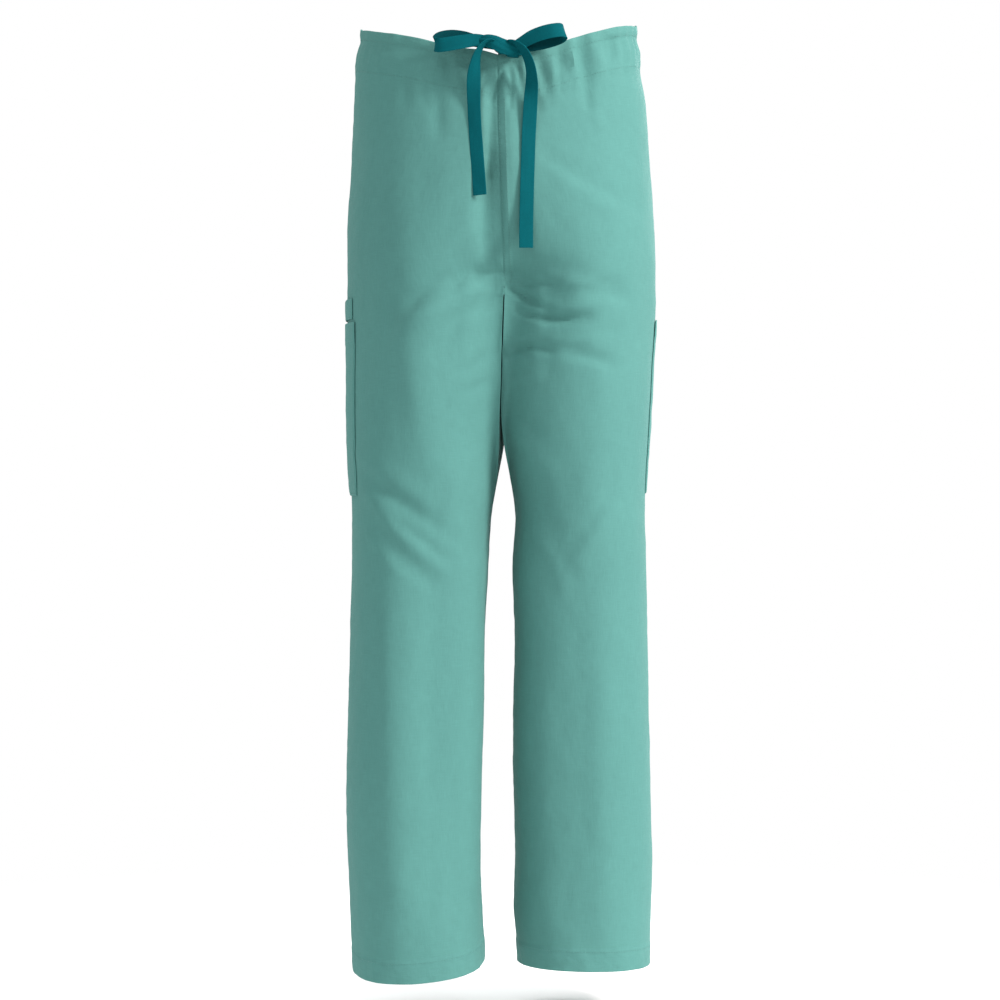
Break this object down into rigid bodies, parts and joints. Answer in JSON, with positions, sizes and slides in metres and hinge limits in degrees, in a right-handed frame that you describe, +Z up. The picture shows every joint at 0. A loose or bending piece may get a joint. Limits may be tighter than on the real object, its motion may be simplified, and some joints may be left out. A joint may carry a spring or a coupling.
{
  "type": "drawstring scrub trousers",
  "caption": "Straight-leg drawstring scrub trousers, filled out and hollow, with a bow at the waist and a cargo pocket on each outer thigh.",
  "frame": {"origin": "middle of the waist opening, at the height where the drawstring grips the wearer", "axes": "+Z up towards the waist edge, -Y towards the front, +X towards the wearer's left"},
  "size_m": [0.3691, 0.3001, 1.1093],
  "materials": {
    "cloth": "matt poplin weave in jade green with a soft sheen",
    "tape": "flat woven twill tape in deep teal"
  },
  "bodies": {
    "root": {"front_right": "cloth", "front_left": "cloth", "back_right": "cloth", "back_left": "cloth", "cargo_pocket_right": "cloth", "cargo_pocket_left": "cloth", "tool_loop": "cloth", "drawstring_loop_right": "tape", "drawstring_loop_left": "tape", "drawstring_end_right": "tape", "drawstring_end_left": "tape", "drawstring_knot": "tape"}
  },
  "joints": []
}
